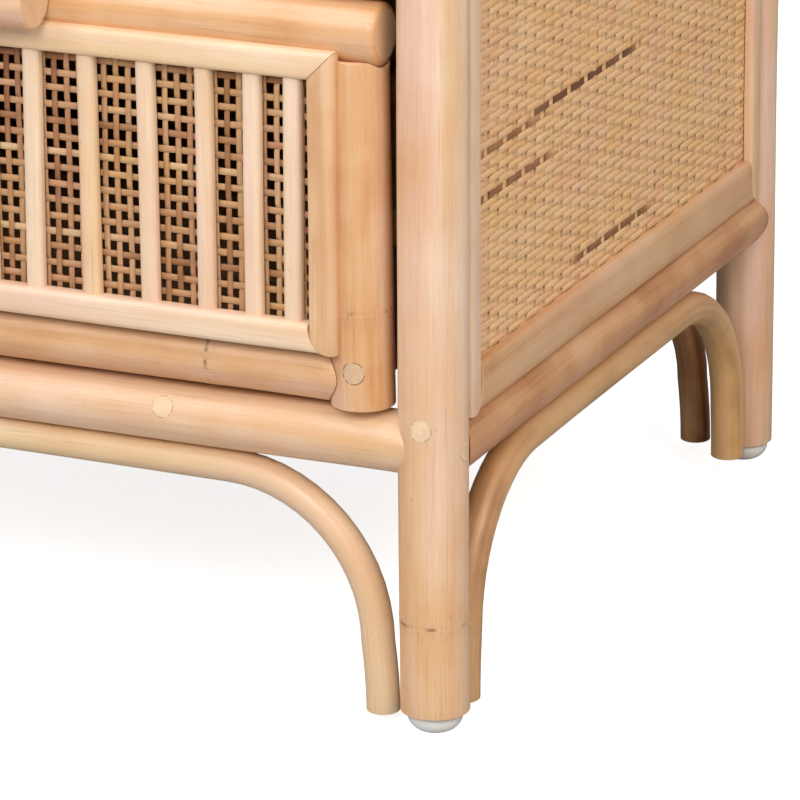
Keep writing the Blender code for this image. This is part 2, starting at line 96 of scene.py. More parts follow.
def unit(vector):
    return vector / np.linalg.norm(vector)


def put(name, data):
    """Adds an object to the scene."""
    obj = bpy.data.objects.new(name, data)
    bpy.context.scene.collection.objects.link(obj)
    return obj


def turns(count):
    """Equal turns round a circle."""
    return np.arange(count) * 2 * pi / count


def loop(count):
    """The points of a closed row, and the next of each."""
    around = np.arange(count)
    return around, (around + 1) % count


def tube_faces(rows, count, flip=False):
    """Quads between closed rows of points; flip turns them inside out."""
    around, beside = loop(count)
    faces = []
    for row in range(rows - 1):
        low, high = row * count, (row + 1) * count
        corner_rows = (low + around, low + beside, high + beside, high + around)
        if flip:
            corner_rows = (low + around, high + around, high + beside, low + beside)
        faces.extend(np.stack(corner_rows, 1).tolist())
    return faces


class Piece:
    """Collects the vertices and faces of one piece, and what the materials read there."""

    def __init__(self):
        self.points = []
        self.faces = []
        self.slots = []
        self.fields = {"grain": [], "ring": [], "tone": [], "shade": []}
        self.count = 0

    def add(self, points, faces, slots, grain, ring=FAR, tone=0.5, shade=0.0):
        points = np.asarray(points, float).reshape(-1, 3)
        amount = len(points)
        self.points.append(points)
        self.faces.extend([[index + self.count for index in face] for face in faces])
        self.slots.extend(slots)
        self.fields["grain"].append(np.asarray(grain, float).reshape(-1, 3))
        for name, value in (("ring", ring), ("tone", tone), ("shade", shade)):
            self.fields[name].append(np.broadcast_to(np.asarray(value, float).ravel(), (amount,)))
        self.count += amount

    def finish(self, name, body, nodes, slot, materials, sharp=50):
        """Makes the object; it rides on a body and stands for CAD nodes."""
        mesh = bpy.data.meshes.new(name)
        mesh.from_pydata(np.concatenate(self.points), [], self.faces)
        for field, values in self.fields.items():
            kind, store = ("FLOAT_VECTOR", "vector") if field == "grain" else ("FLOAT", "value")
            layer = mesh.attributes.new(field, kind, "POINT")
            layer.data.foreach_set(store, np.concatenate(values).astype(np.float32).ravel())
        for item in materials:
            mesh.materials.append(item)
        mesh.polygons.foreach_set("material_index", np.array(self.slots, np.int32))
        mesh.shade_smooth()
        mesh.set_sharp_from_angle(angle=radians(sharp))
        mesh.update()
        obj = put(name, mesh)
        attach(obj, body)
        if nodes:
            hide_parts(*nodes)
        return obj


# Sections: points across the grain, as sideways and outward offsets


def round_section(radius, rng):
    turn = turns(ROUND_SIDES)
    oval = 1 + 0.006 * np.cos(2 * turn + rng.uniform(0, 6)) + 0.003 * np.cos(3 * turn + rng.uniform(0, 6))
    return np.stack((radius * oval * np.cos(turn), radius * oval * np.sin(turn)), 1)


def split_section(width, thickness, fullness, steps=20):
    """A split pole, flat behind; fullness 1 is half round, and a small one nearly square."""
    turn = np.linspace(0, pi, steps + 1)
    side = np.sign(np.cos(turn)) * np.abs(np.cos(turn)) ** fullness
    out = np.maximum(np.sin(turn), 0) ** fullness
    front = np.stack((width / 2 * side, thickness * out), 1)
    back = np.stack((np.linspace(-0.3, 0.3, 3) * width, np.zeros(3)), 1)
    return np.concatenate((front, back))


# Cuts: how far an end lies back from its nominal place, at sideways and outward offsets


def flat_cut(side, out):
    return np.zeros_like(side)


FLAT_ENDS = (flat_cut, flat_cut)


def hollow(radius, offset):
    """How far back an end is cut by a pole across it, at an offset from that one's axis."""
    return np.sqrt(np.maximum((radius + GAP) ** 2 - offset**2, 0))


def cope_cut(radius, shoulder=0.0):
    """Fits round a pole across the nominal end; a shoulder cuts the wings off flat."""
    return lambda side, out: np.maximum(hollow(radius, side), shoulder)


def mitre_cut(slope, shift):
    """Slopes across the pole; shift is how far its middle lies back."""
    return lambda side, out: slope * side + shift


def stations(length, rings, edge=EDGE):
    """The lengths of a pole's rows, closer together at its ends and rings."""
    rows = [np.linspace(0, length, max(3, int(length / ROW)))]
    rows += [ring + RING_ROWS for ring in rings]
    turn = edge * np.array((0.06, 0.25, 0.55, 1.0))
    rows += [turn, length - turn]
    return np.unique(np.round(np.clip(np.concatenate(rows), 0, length), 5))


def sweep(piece, rng, rows, centres, tangents, side, section, cuts, rings=(), tone=0.5, swell=1.0, edge=EDGE):
    """Sweeps a section along a line in a plane; side is the plane's normal, and rows are lengths.

    cuts are the shapes of the two ends, rings the places of growth rings, swell how uneven it is.
    """
    length = rows[-1]
    ups = np.cross(side, tangents)
    size = np.abs(section).max()
    middle = (section.max(0) + section.min(0)) / 2
    drift = rng.uniform(0, 6, 6)
    scale = 1 + 0.006 * np.sin(rows * 17 + drift[0]) + 0.004 * np.sin(rows * 41 + drift[1])
    bulge = np.zeros_like(rows)
    nearest = np.full_like(rows, FAR)
    for ring in rings:
        gap = np.abs(rows - ring)
        bulge += RING_SWELL * np.exp(-((gap / RING_SWELL_WIDTH) ** 2))
        bulge -= RING_GROOVE * np.exp(-((gap / RING_GROOVE_WIDTH) ** 2))
        nearest = np.minimum(nearest, gap)
    scale = scale + swell * bulge / size
    ends = np.minimum(rows, length - rows)
    scale = scale - (edge / size) * (1 - np.sqrt(1 - np.clip(1 - ends / edge, 0, 1) ** 2))
    sway = np.minimum(ends / SWAY_START, 1) * swell * SWAY
    sway_side = sway * np.sin(rows * 13 + drift[2])
    sway_up = sway * np.sin(rows * 11 + drift[3])
    cut_in, cut_out = cuts
    count = len(section)
    around, beside = loop(count)
    points, grain, near = [], [], []

    def add_row(row, share=1.0, ring=FAR):
        across, out = (middle + (section - middle) * scale[row] * share).T
        along = np.full(count, rows[row])
        along = along + max(0, 1 - rows[row] / CUT_BLEND) * cut_in(across, out)
        along = along - max(0, 1 - (length - rows[row]) / CUT_BLEND) * cut_out(across, out)
        points.append(
            centres[row]
            + np.outer(across + sway_side[row], side)
            + np.outer(out + sway_up[row], ups[row])
            + np.outer(along - rows[row], tangents[row])
        )
        grain.append(np.stack((along, across, out), 1))
        near.append(np.full(count, ring))

    for row, ring in enumerate(nearest):
        add_row(row, ring=ring)
    faces = tube_faces(len(rows), count)
    slots = [0] * len(faces)
    for row, flip in ((0, True), (len(rows) - 1, False)):
        outer = row * count
        for share in CAP_SHARES:
            inner = len(points) * count
            add_row(row, share)
            loops = (outer + around, outer + beside, inner + beside, inner + around)
            faces.extend(np.stack(loops[::-1] if flip else loops, 1).tolist())
            outer = inner
        last = (outer + around).tolist()
        faces.append(last[::-1] if flip else last)
    slots += [1] * (len(faces) - len(slots))
    grain = np.concatenate(grain) + rng.uniform(0, 9, 3)
    piece.add(np.concatenate(points), faces, slots, grain, np.concatenate(near), tone)


def lengths(line):
    """The length along a line up to each point."""
    steps = np.linalg.norm(np.diff(line, axis=0), axis=1)
    return np.concatenate(((0,), np.cumsum(steps)))


def straight(piece, rng, start, end, side, section, cuts, rings=(), edge=EDGE, **looks):
    """A straight pole or batten; outward is side x along."""
    length = np.linalg.norm(end - start)
    along = (end - start) / length
    rows = stations(length, rings, edge)
    centres = start + np.outer(rows, along)
    tangents = np.tile(along, (len(rows), 1))
    sweep(piece, rng, rows, centres, tangents, side, section, cuts, rings, edge=edge, **looks)


def ring_places(rng, length, spacing=(0.28, 0.44), margin=0.05):
    """Chance places for growth rings, clear of the ends."""
    places = []
    place = rng.uniform(0.02, spacing[1])
    while place < length - margin:
        if place > margin:
            places.append(place)
        place += rng.uniform(*spacing)
    return places


# Materials


def srgb(red, green, blue):
    """A linear colour from the usual 0-255 values."""
    values = []
    for part in (red, green, blue):
        part = part / 255
        values.append(part / 12.92 if part <= 0.04045 else ((part + 0.055) / 1.055) ** 2.4)
    return (*values, 1.0)


def stops(*rows):
    """A colour ramp from rows of place and 0-255 values."""
    return [(place, srgb(*colour)) for place, *colour in rows]


class Material:
    """One procedural material, built node by node."""

    def __init__(self, name, roughness=0.5, coat=0.0, coat_roughness=0.2, specular=0.5):
        self.made = bpy.data.materials.new(name)
        self.made.use_nodes = True
        self.tree = self.made.node_tree
        self.shader = self.tree.nodes["Principled BSDF"]
        plain = {"Roughness": roughness, "Specular IOR Level": specular}
        plain.update({"Coat Weight": coat, "Coat Roughness": coat_roughness})
        for key, value in plain.items():
            self.shader.inputs[key].default_value = value

    def new(self, kind, **settings):
        made = self.tree.nodes.new("ShaderNode" + kind)
        for key, value in settings.items():
            setattr(made, key, value)
        return made

    def feed(self, socket, value):
        """Links a socket to another, or sets it to a plain value."""
        if isinstance(value, bpy.types.NodeSocket):
            self.tree.links.new(value, socket)
        else:
            socket.default_value = value

    def field(self, name, output="Fac"):
        return self.new("Attribute", attribute_name=name).outputs[output]

    def place(self):
        return self.new("TexCoord").outputs["Object"]

    def wired(self, kind, values, output=0, **settings):
        """A new node with its first inputs fed in order."""
        made = self.new(kind, **settings)
        for socket, value in zip(made.inputs, values):
            self.feed(socket, value)
        return made.outputs[output]

    def noise(self, place, scale, detail=2.0, rough=0.5):
        """Noise with a scale along each axis; the first axis of "grain" runs along the pole."""
        noise = self.new("TexNoise")
        self.feed(noise.inputs["Vector"], self.wired("VectorMath", (place, scale), operation="MULTIPLY"))
        self.feed(noise.inputs["Scale"], 1.0)
        self.feed(noise.inputs["Detail"], detail)
        self.feed(noise.inputs["Roughness"], rough)
        return noise.outputs["Fac"]

    def math(self, operation, *values, clamp=False):
        return self.wired("Math", values, operation=operation, use_clamp=clamp)

    def times(self, first, second):
        return self.math("MULTIPLY", first, second)

    def remap(self, value, low, high, to_low=0.0, to_high=1.0):
        bounds = (low, high, to_low, to_high)
        return self.wired("MapRange", (value, *bounds), interpolation_type="SMOOTHSTEP")

    def mix(self, share, first, second, blend="MIX"):
        made = self.new("Mix", data_type="RGBA", blend_type=blend)
        self.feed(made.inputs[0], share)
        self.feed(made.inputs[6], first)
        self.feed(made.inputs[7], second)
        return made.outputs[2]

    def ramp(self, value, colours):
        made = self.new("ValToRGB")
        self.feed(made.inputs[0], value)
        elements = made.color_ramp.elements
        while len(elements) < len(colours):
            elements.new(1.0)
        for element, (position, colour) in zip(elements, colours):
            element.position = position
            element.color = colour
        return made.outputs[0]

    def vary(self, value, noise, amount, middle=0.5, clamp=False):
        """Adds a noise, centred and scaled, to a value."""
        return self.math("MULTIPLY_ADD", self.math("SUBTRACT", noise, middle), amount, value, clamp)

    def tinted(self, colour, hue, pink, yellow):
        """A colour turned pink where hue passes one range, and yellow past the other."""
        for bounds, tint in ((pink, PINK), (yellow, YELLOW)):
            colour = self.mix(self.remap(hue, *bounds), colour, self.mix(1.0, colour, tint, "MULTIPLY"))
        return colour

    def dim(self, colour, amount):
        """Darkens a colour by a factor from 0 (none) to 1 (black)."""
        kept = self.math("SUBTRACT", 1.0, amount, clamp=True)
        return self.mix(1.0, colour, self.wired("CombineColor", (kept, kept, kept)), "MULTIPLY")

    def finish(self, colour, roughness=None, height=None, depth=0.0002, strength=0.5):
        self.feed(self.shader.inputs["Base Color"], colour)
        if roughness is not None:
            self.feed(self.shader.inputs["Roughness"], roughness)
        if height is not None:
            bump = self.new("Bump")
            self.feed(bump.inputs["Height"], height)
            self.feed(bump.inputs["Distance"], depth)
            self.feed(bump.inputs["Strength"], strength)
            self.feed(self.shader.inputs["Normal"], bump.outputs[0])
        return self.made


PINK = srgb(253, 246, 253)
YELLOW = srgb(254, 252, 240)


def rattan_material(name, deep, warm, pale, roughness=0.40, contrast=1.0, foot=-0.20):
    """Peeled rattan; foot is the tone added near the floor as painted shade, darker towards the bottom."""
    m = Material(name, coat=0.18, coat_roughness=0.3)
    place = m.field("grain", "Vector")
    band = m.noise(place, (4, 105, 105))
    streak = m.noise(place, (8, 380, 380))
    broad = m.noise(place, (12, 30, 30))
    fibre = m.noise(place, (38, 1700, 1700), 3.0, 0.65)
    share = m.vary(m.field("tone"), band, 0.7 * contrast)
    share = m.vary(share, broad, 0.9 * contrast)
    blotch = m.noise(m.place(), (30, 30, 30), 3.0, 0.6)
    height = m.wired("SeparateXYZ", (m.place(),), 2)
    # Painted shade near the floor: the tone drops by foot from 0.17 m down to 0.03 m
    share = m.math("ADD", share, m.remap(height, 0.03, 0.17, foot, 0.0))
    share = m.vary(share, blotch, 0.5 * contrast)
    share = m.vary(share, streak, 0.28 * contrast, clamp=True)
    colour = m.ramp(share, ((0.0, deep), (0.35, warm), (1.0, pale)))
    colour = m.tinted(colour, m.noise(place, (5, 62, 62), 1.0), (0.52, 0.70), (0.48, 0.32))
    near = m.math("SUBTRACT", 1.0, m.remap(m.field("ring"), 0.0012, 0.0095))
    pits = m.noise(place, (260, 1500, 1500), 1.0)
    limit = m.math("MULTIPLY_ADD", near, -0.09, 0.76)
    pits = m.remap(pits, limit, m.math("ADD", limit, 0.05))
    hairs = m.remap(m.noise(place, (24, 1500, 1500), 1.0), 0.64, 0.76)
    marks = m.math("MAXIMUM", m.times(pits, 0.45), m.times(hairs, 0.20))
    crack = m.math("SUBTRACT", 1.0, m.remap(m.field("ring"), 0.0003, 0.0012))
    broken = m.remap(m.noise(place, (30, 150, 150)), 0.47, 0.62)
    crack = m.times(crack, broken)
    soft = m.times(near, m.remap(fibre, 0.35, 0.7))
    colour = m.dim(colour, m.times(m.remap(fibre, 0.38, 0.72), 0.09 * contrast))
    colour = m.dim(colour, m.times(soft, 0.09))
    colour = m.mix(m.math("MAXIMUM", marks, m.times(crack, 0.68)), colour, srgb(122, 76, 44))
    rough = m.math("MULTIPLY_ADD", fibre, 0.16, roughness - 0.08)
    height = m.math("SUBTRACT", m.times(fibre, 0.5), m.math("ADD", marks, crack))
    return m.finish(colour, rough, height, 0.00015, 0.35)


def end_grain_material():
    """The sawn end of a pole: a pale ground with pores."""
    m = Material("rattan_end_grain", roughness=0.6)
    place = m.field("grain", "Vector")
    pores = m.remap(m.noise(place, (300, 1500, 1500), 1.0), 0.60, 0.68)
    ground = m.mix(m.noise(place, (40, 180, 180)), srgb(222, 182, 142), srgb(238, 206, 172))
    colour = m.mix(m.times(pores, 0.25), ground, srgb(132, 88, 54))
    return m.finish(colour, None, m.times(pores, -1.0), 0.0002, 0.5)


def strand_material(name, colours, roughness, dive_shade):
    """Split cane; the last argument is how dark the painted shade gets where a strand dives."""
    m = Material(name, coat=0.06, coat_roughness=0.4, specular=0.35)
    place = m.field("grain", "Vector")
    tone = m.vary(m.field("tone"), m.noise(place, (28, 90, 90)), 0.3)
    tone = m.vary(tone, m.noise(m.place(), (26, 26, 26), 3.0, 0.6), 0.75, 0.52, clamp=True)
    colour = m.ramp(tone, colours)
    colour = m.tinted(colour, m.noise(m.place(), (38, 38, 38)), (0.50, 0.66), (0.50, 0.34))
    fibre = m.noise(place, (70, 2600, 2600), 2.0, 0.6)
    colour = m.dim(colour, m.times(m.remap(fibre, 0.35, 0.72), 0.16))
    stain = m.remap(m.noise(place, (60, 500, 500)), 0.62, 0.74)
    colour = m.mix(m.times(stain, 0.30), colour, srgb(150, 100, 58))
    # Painted shade: darker where the "shade" field marks a dive or a crossing, broken up by noise
    uneven = m.remap(m.noise(place, (150, 150, 150)), 0.35, 0.60, 0.4, 1.0)
    deep = m.times(m.field("shade"), m.times(uneven, dive_shade))
    colour = m.dim(colour, deep)
    rough = m.math("MULTIPLY_ADD", fibre, 0.2, roughness - 0.1)
    return m.finish(colour, rough, m.times(fibre, -1.0), 0.00012, 0.4)


def board_material(name, axis, pale, dark):
    """Light wood with the grain along one axis of the frame."""
    m = Material(name, roughness=0.55)
    place = m.place()

    def stretched(along, across):
        scale = [across] * 3
        scale[axis] = along
        return tuple(scale)

    bands = m.noise(place, stretched(1.6, 60), 3.0, 0.6)
    fine = m.noise(place, stretched(25, 1400))
    share = m.vary(m.remap(bands, 0.35, 0.68), m.noise(place, (9.0, 9.0, 9.0)), 0.5)
    colour = m.mix(share, dark, pale)
    pores = m.remap(m.noise(place, stretched(70, 1900), 1.0), 0.66, 0.74)
    colour = m.dim(colour, m.times(fine, 0.12))
    colour = m.mix(m.times(pores, 0.4), colour, srgb(120, 80, 48))
    rough = m.math("MULTIPLY_ADD", fine, 0.18, 0.45)
    return m.finish(colour, rough, fine, 0.0001, 0.4)


def plug_material():
    """A plug over a screw: fine turned rings and a thin broken outline."""
    m = Material("rattan_plug", roughness=0.45, coat=0.15)
    place = m.field("grain", "Vector")
    out = m.field("ring")
    turned = m.math("SINE", m.times(out, 9000.0))
    cloud = m.noise(place, (500, 500, 500), 3.0)
    share = m.math("MULTIPLY_ADD", turned, 0.10, cloud)
    plain = m.mix(share, srgb(196, 156, 118), srgb(226, 196, 162))
    patch = m.noise(place, (170, 170, 170))
    faint = m.mix(m.remap(patch, 0.46, 0.58), srgb(236, 204, 170), srgb(244, 214, 174))
    colour = m.mix(m.field("tone"), plain, faint)
    edge = m.times(m.remap(out, 0.0044, 0.0050), m.remap(cloud, 0.42, 0.56))
    kept = m.math("MULTIPLY_ADD", m.field("tone"), -0.45, 0.90)
    colour = m.mix(m.times(edge, kept), colour, srgb(104, 64, 36))
    return m.finish(colour, None, m.math("ADD", turned, cloud), 0.0001, 0.4)


def plastic_material():
    m = Material("glide_plastic", coat=0.3, coat_roughness=0.15)
    cloud = m.noise(m.place(), (120, 120, 120), 3.0)
    colour = m.mix(cloud, srgb(226, 226, 224), srgb(244, 244, 242))
    scuff = m.remap(m.noise(m.place(), (900, 900, 250)), 0.62, 0.72)
    colour = m.dim(colour, m.times(scuff, 0.08))
    return m.finish(colour, m.math("MULTIPLY_ADD", scuff, 0.25, 0.26), cloud, 0.0001, 0.2)


POLE = rattan_material("rattan_pole", srgb(188, 128, 78), srgb(224, 174, 126), srgb(242, 214, 188))
PALE_POLE = rattan_material(
    "rattan_pale_pole", srgb(206, 154, 104), srgb(230, 188, 144), srgb(246, 222, 196), 0.46, 0.8
)
# The arches' deep colour mostly serves the rear arch, whose dark tone is painted shade
ARCH_POLE = rattan_material(
    "rattan_arch_pole", srgb(112, 66, 34), srgb(222, 176, 122), srgb(242, 220, 186), contrast=0.6, foot=0.0
)
BATTEN = rattan_material("rattan_batten", srgb(190, 132, 84), srgb(222, 176, 128), srgb(242, 214, 184), 0.46)
END_GRAIN = end_grain_material()
# The last number of each strand material is the strength of its painted shade where strands dive
MAT_PALE = (0.42, 240, 186, 132), (0.62, 254, 205, 149), (1.0, 255, 217, 170)
MAT = strand_material("rattan_mat", stops((0.0, 122, 78, 44), (0.2, 176, 124, 82), *MAT_PALE), 0.55, 0.95)
CANE_PALE = (0.4, 190, 140, 98), (0.7, 210, 166, 122), (1.0, 226, 192, 148)
CANE = strand_material("rattan_cane", stops((0.0, 112, 70, 40), (0.2, 150, 102, 64), *CANE_PALE), 0.62, 0.5)
PLUG = plug_material()
PLASTIC = plastic_material()
BOARD_COLOURS = (srgb(178, 138, 98), srgb(142, 102, 68))
BOARDS = [board_material(f"rattan_board_{name}", axis, *BOARD_COLOURS) for axis, name in enumerate("xyz")]

POLE_SKIN = (POLE, END_GRAIN)
PALE_SKIN = (PALE_POLE, END_GRAIN)
ARCH_SKIN = (ARCH_POLE, END_GRAIN)
BATTEN_SKIN = (BATTEN, END_GRAIN)


# The frame's poles

SIDES = (("left", -1), ("right", 1))
ENDS = ("front", "back")
# The tones of some poles and battens, from dark (0) to pale (1)
TONES = {
    "leg_front_right": 0.74,
    "leg_back_right": 0.74,
    "rail_lower_front": 0.74,
    "rail_lower_right": 0.20,
    "lower_drawer_stile_right": 0.38,
    "lower_drawer_top_pole": 0.40,
    "lower_drawer_bottom_pole": 0.46,
    "arch_front": 0.70,
    "arch_right": 0.36,
    # Painted shade: the rear arch's near-black tone copies the shadow it stands in under the nightstand
    "arch_back": 0.05,
    "battens_right_bottom": 0.36,
    "battens_right_left": 0.95,
    "lower_drawer_grille_bottom": 0.80,
    "lower_drawer_grille_right": 0.33,
    "lower_drawer_grille_top": 0.60,
}
# Where along them some poles have their growth rings
RINGS = {
    "leg_front_right": (0.043,),
    "lower_drawer_stile_right": (0.0446,),
    "rail_lower_front": (0.13,),
    "rail_lower_right": (),
    "lower_drawer_top_pole": (0.09,),
    "lower_drawer_bottom_pole": (0.31,),
}


def corners(node):
    low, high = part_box(node)
    return np.array(low), np.array(high)


def centre(node):
    low, high = corners(node)
    return (low + high) / 2


def lying_ends(node):
    """The ends of the line through a pole along X."""
    low, high = corners(node)
    middle = centre(node)
    return at(low[0], *middle[1:]), at(high[0], *middle[1:])


def radius(node, axis):
    """A CAD pole's radius, from its box along an axis where it isn't cut."""
    low, high = corners(node)
    return (high[axis] - low[axis]) / 2 / CAD_FLATNESS


def rattan_pole(node, body, start, end, side, size, cuts, edge=EDGE):
    """The piece for a straight pole's node."""
    rng = seeded(node)
    piece = Piece()
    length = np.linalg.norm(end - start)
    rings = RINGS[node] if node in RINGS else ring_places(rng, length)
    tone = TONES.get(node, rng.uniform(0.40, 0.66))
    straight(piece, rng, start, end, side, round_section(size, rng), cuts, rings, edge, tone=tone)
    piece.finish(f"rattan_{node}", body, [node], "pole", POLE_SKIN)


def make_legs():
    for end in ENDS:
        for side, _ in SIDES:
            node = f"leg_{end}_{side}"
            low, high = corners(node)
            x, y, _ = centre(node)
            rattan_pole(node, "frame", at(x, y, low[2]), at(x, y, high[2]), Y, radius(node, 0), FLAT_ENDS)


def rail_corner_cut(leg_radius, rail_radius, inward, rise):
    """Fits a side rail round the leg, and inside round the end rail as well."""

    def cut(side, out):
        leg = hollow(leg_radius, side)
        return np.where(side * inward > 0, np.maximum(leg, hollow(rail_radius, out - rise)), leg)

    return cut


def make_rails():
    for place in ("lower_front", "lower_back", "middle_front", "top_front", "top_back"):
        node = f"rail_{place}"
        end = place.split("_")[1]
        middle = centre(node)
        ends = [at(centre(f"leg_{end}_{side}")[0], *middle[1:]) for side, _ in SIDES]
        cut = cope_cut(radius(f"leg_{end}_left", 0))
        rattan_pole(node, "frame", *ends, Y, radius(node, 2), (cut, cut))
    for level in ("lower", "top"):
        for side, sign in SIDES:
            node = f"rail_{level}_{side}"
            middle = centre(node)
            size = radius(node, 2)
            ends = []
            cuts = []
            for end in ENDS:
                leg = centre(f"leg_{end}_{side}")
                rail = f"rail_{level}_{end}"
                ends.append(at(leg[0], leg[1], middle[2]))
                rise = centre(rail)[2] - middle[2]
                cuts.append(rail_corner_cut(radius(f"leg_{end}_{side}", 0), radius(rail, 2), -sign, rise))
            rattan_pole(node, "frame", *ends, X, size, cuts)


def make_border():
    size = radius("top_border_front", 2)
    reach = size * CAD_FLATNESS
    z = centre("top_border_front")[2]
    front = corners("top_border_front")[0][1] + reach
    back = corners("top_border_back")[1][1] - reach
    right = corners("top_border_right")[1][0] - reach
    for name, first, last, side, inward in (
        ("front", at(-right, front, z), at(right, front, z), Y, 1),
        ("back", at(-right, back, z), at(right, back, z), Y, -1),
        ("left", at(-right, front, z), at(-right, back, z), X, 1),
        ("right", at(right, front, z), at(right, back, z), X, -1),
    ):
        cut = mitre_cut(inward, GAP / 2)
        rattan_pole(f"top_border_{name}", "frame", first, last, side, size, (cut, cut))


# The bent poles under the lower rails

# How far a foot leans in, the bend's reach along the rail, the height where it starts, and how much
# higher the rear foot of a side arch is cut
ARCH_LEAN = 0.002
ARCH_BEND = 0.0716
ARCH_BEND_Z = 0.0379
SIDE_ARCH_REAR_FOOT = 0.0045


def arch_half(foot, foot_z, top_z, inward):
    """An arch's line from one foot: up, and round a quarter bend."""
    turn = np.linspace(0, pi / 2, 40)
    up = np.linspace(0, 1, 12)[:-1]
    rise = (foot + inward * ARCH_LEAN * up**2, foot_z + (ARCH_BEND_Z - foot_z) * up)
    along = foot + inward * (ARCH_LEAN + ARCH_BEND * (1 - np.cos(turn)))
    bend = (along, ARCH_BEND_Z + (top_z - ARCH_BEND_Z) * np.sin(turn))
    return np.concatenate((np.stack(rise, 1), np.stack(bend, 1)))


def make_arch(node, across, side, far_foot=0.0):
    """A bent pole under a rail; far_foot is how much higher its second foot is cut."""
    low, high = corners(node)
    axis = int(np.argmax(np.abs(across)))
    size = radius(node, 1 - axis)
    middle = (low + high) / 2
    near = arch_half(low[axis] + size, low[2], high[2] - size, 1)
    far = arch_half(high[axis] - size, low[2] + far_foot, high[2] - size, -1)[::-1]
    flat = np.concatenate((near, np.linspace(near[-1], far[0], 30)[1:-1], far))
    run = lengths(flat)
    rng = seeded(node)
    rows = stations(run[-1], ())
    along = np.interp(rows, run, flat[:, 0])
    z = np.interp(rows, run, flat[:, 1])
    slope = np.gradient(flat, run, axis=0)
    slope = np.stack([np.interp(rows, run, slope[:, item]) for item in (0, 1)], 1)
    slope = slope / np.linalg.norm(slope, axis=1)[:, None]
    base = middle * (1 - across) * (1, 1, 0)
    centres = base + np.outer(along, across) + np.outer(z, Z)
    tangents = np.outer(slope[:, 0], across) + np.outer(slope[:, 1], Z)
    piece = Piece()
    section = round_section(size, rng)
    sweep(piece, rng, rows, centres, tangents, side, section, FLAT_ENDS, tone=TONES.get(node, 0.4))
    piece.finish(f"rattan_{node}", "frame", [node], "arch_pole", ARCH_SKIN)


def make_arches():
    for end in ENDS:
        make_arch(f"arch_{end}", X, Y)
    for side, _ in SIDES:
        make_arch(f"arch_{side}", Y, X, SIDE_ARCH_REAR_FOOT)


# Batten frames of split poles


def batten(piece, rng, start, end, out, size, cuts, tone):
    """A split pole; size is its width, thickness and fullness."""
    along = unit(end - start)
    side = np.cross(along, out)
    straight(piece, rng, start, end, side, split_section(*size), cuts, edge=BATTEN_EDGE, tone=tone, swell=0.5)


def inward_sign(along, out, inward):
    """Which way along a batten's side axis the panel lies: 1 or -1."""
    return float(np.sign(np.dot(np.cross(along, out), inward)))


def frame_battens(node, body, axes, widths, fullness, skin, slot, curved_feet=False):
    """Four split poles round a panel, mitred; curved_feet rounds the standing ones' lower ends.

    axes are across, up and out of the panel; widths are those of the standing and lying ones.
    """
    across, up, out = axes
    low, high = corners(node)
    upright, lying = widths
    middle = (low + high) / 2
    half_a = abs(np.dot(high - low, across)) / 2
    half_b = abs(np.dot(high - low, up)) / 2
    thickness = abs(np.dot(high - low, out))
    back = middle - out * thickness / 2
    flat = (half_a, half_b, lying, upright)
    standing = (half_b, half_a, upright, lying)
    bars = ("bottom", across, -up, *flat), ("top", across, up, *flat)
    bars += ("left", up, -across, *standing), ("right", up, across, *standing)
    for name, along, outer, half, reach, width, other in bars:
        rng = seeded(node + name)
        inner = inward_sign(along, out, -outer)
        cut = mitre_cut(other / width * inner, other / 2 + MITRE_GAP)
        cuts = [cut, cut]
        if curved_feet and name == "bottom":
            cuts = [socket_cut(width, other, inner)] * 2
        if curved_feet and name in ("left", "right"):
            cuts[0] = curved_foot_cut(width, inner)
        start = back - along * half + outer * (reach - width / 2)
        end = start + along * 2 * half
        piece = Piece()
        tone = TONES.get(f"{node}_{name}", rng.uniform(0.45, 0.7))
        batten(piece, rng, start, end, out, (width, thickness, fullness), cuts, tone)
        piece.finish(f"rattan_{node}_{name}", body, [node], slot, skin)


# How far past its middle a rounded foot is flat, as a share of its width
FOOT_FLAT = 0.22


def curved_foot_cut(width, inner):
    """A standing batten's lower end: flat outside, rounded up to the inner edge."""

    def cut(side, out):
        share = np.clip((side * inner / width + FOOT_FLAT) / (0.5 + FOOT_FLAT), 0, 1)
        return width * (1 - np.sqrt(np.maximum(1 - share**2, 0)))

    return cut


def socket_cut(width, other, inner):
    """The lying batten's end, hollowed for the rounded foot of the other."""

    def cut(side, out):
        height = np.clip((side * inner + width / 2) / other, 0, 1)
        reach = (0.5 + FOOT_FLAT) * np.sqrt(np.maximum(1 - (1 - height) ** 2, 0))
        return other * (0.5 - FOOT_FLAT + reach) + MITRE_GAP

    return cut


def make_batten_frames():
    wall = ((0.0118, 0.022), 0.5, BATTEN_SKIN, "batten")
    for side, sign in SIDES:
        frame_battens(f"battens_{side}", "frame", (Y * sign, Z, X * sign), *wall, True)
    frame_battens("battens_back", "frame", (-X, Z, Y), *wall, True)
    frame_battens("battens_top", "frame", (X, Y, Z), (0.012, 0.012), 0.6, BATTEN_SKIN, "batten")


# The woven mats and the cane

# A strand's section (across, depth), and how much of a crossing's painted shade each point takes; most falls
# on one edge, as if lit from the other
STRAND = np.array(((-0.5, 0.0), (-0.46, 0.9), (0.0, 1.0), (0.46, 0.9), (0.5, 0.0)))
STRAND_SHADE_SHARES = np.array((0.1, 0.1, 0.35, 1.0, 1.0))
STRAND_SHARP = 80
# The most that a strand stays under another, as a share of the pitch
MOST_REACH = 0.33


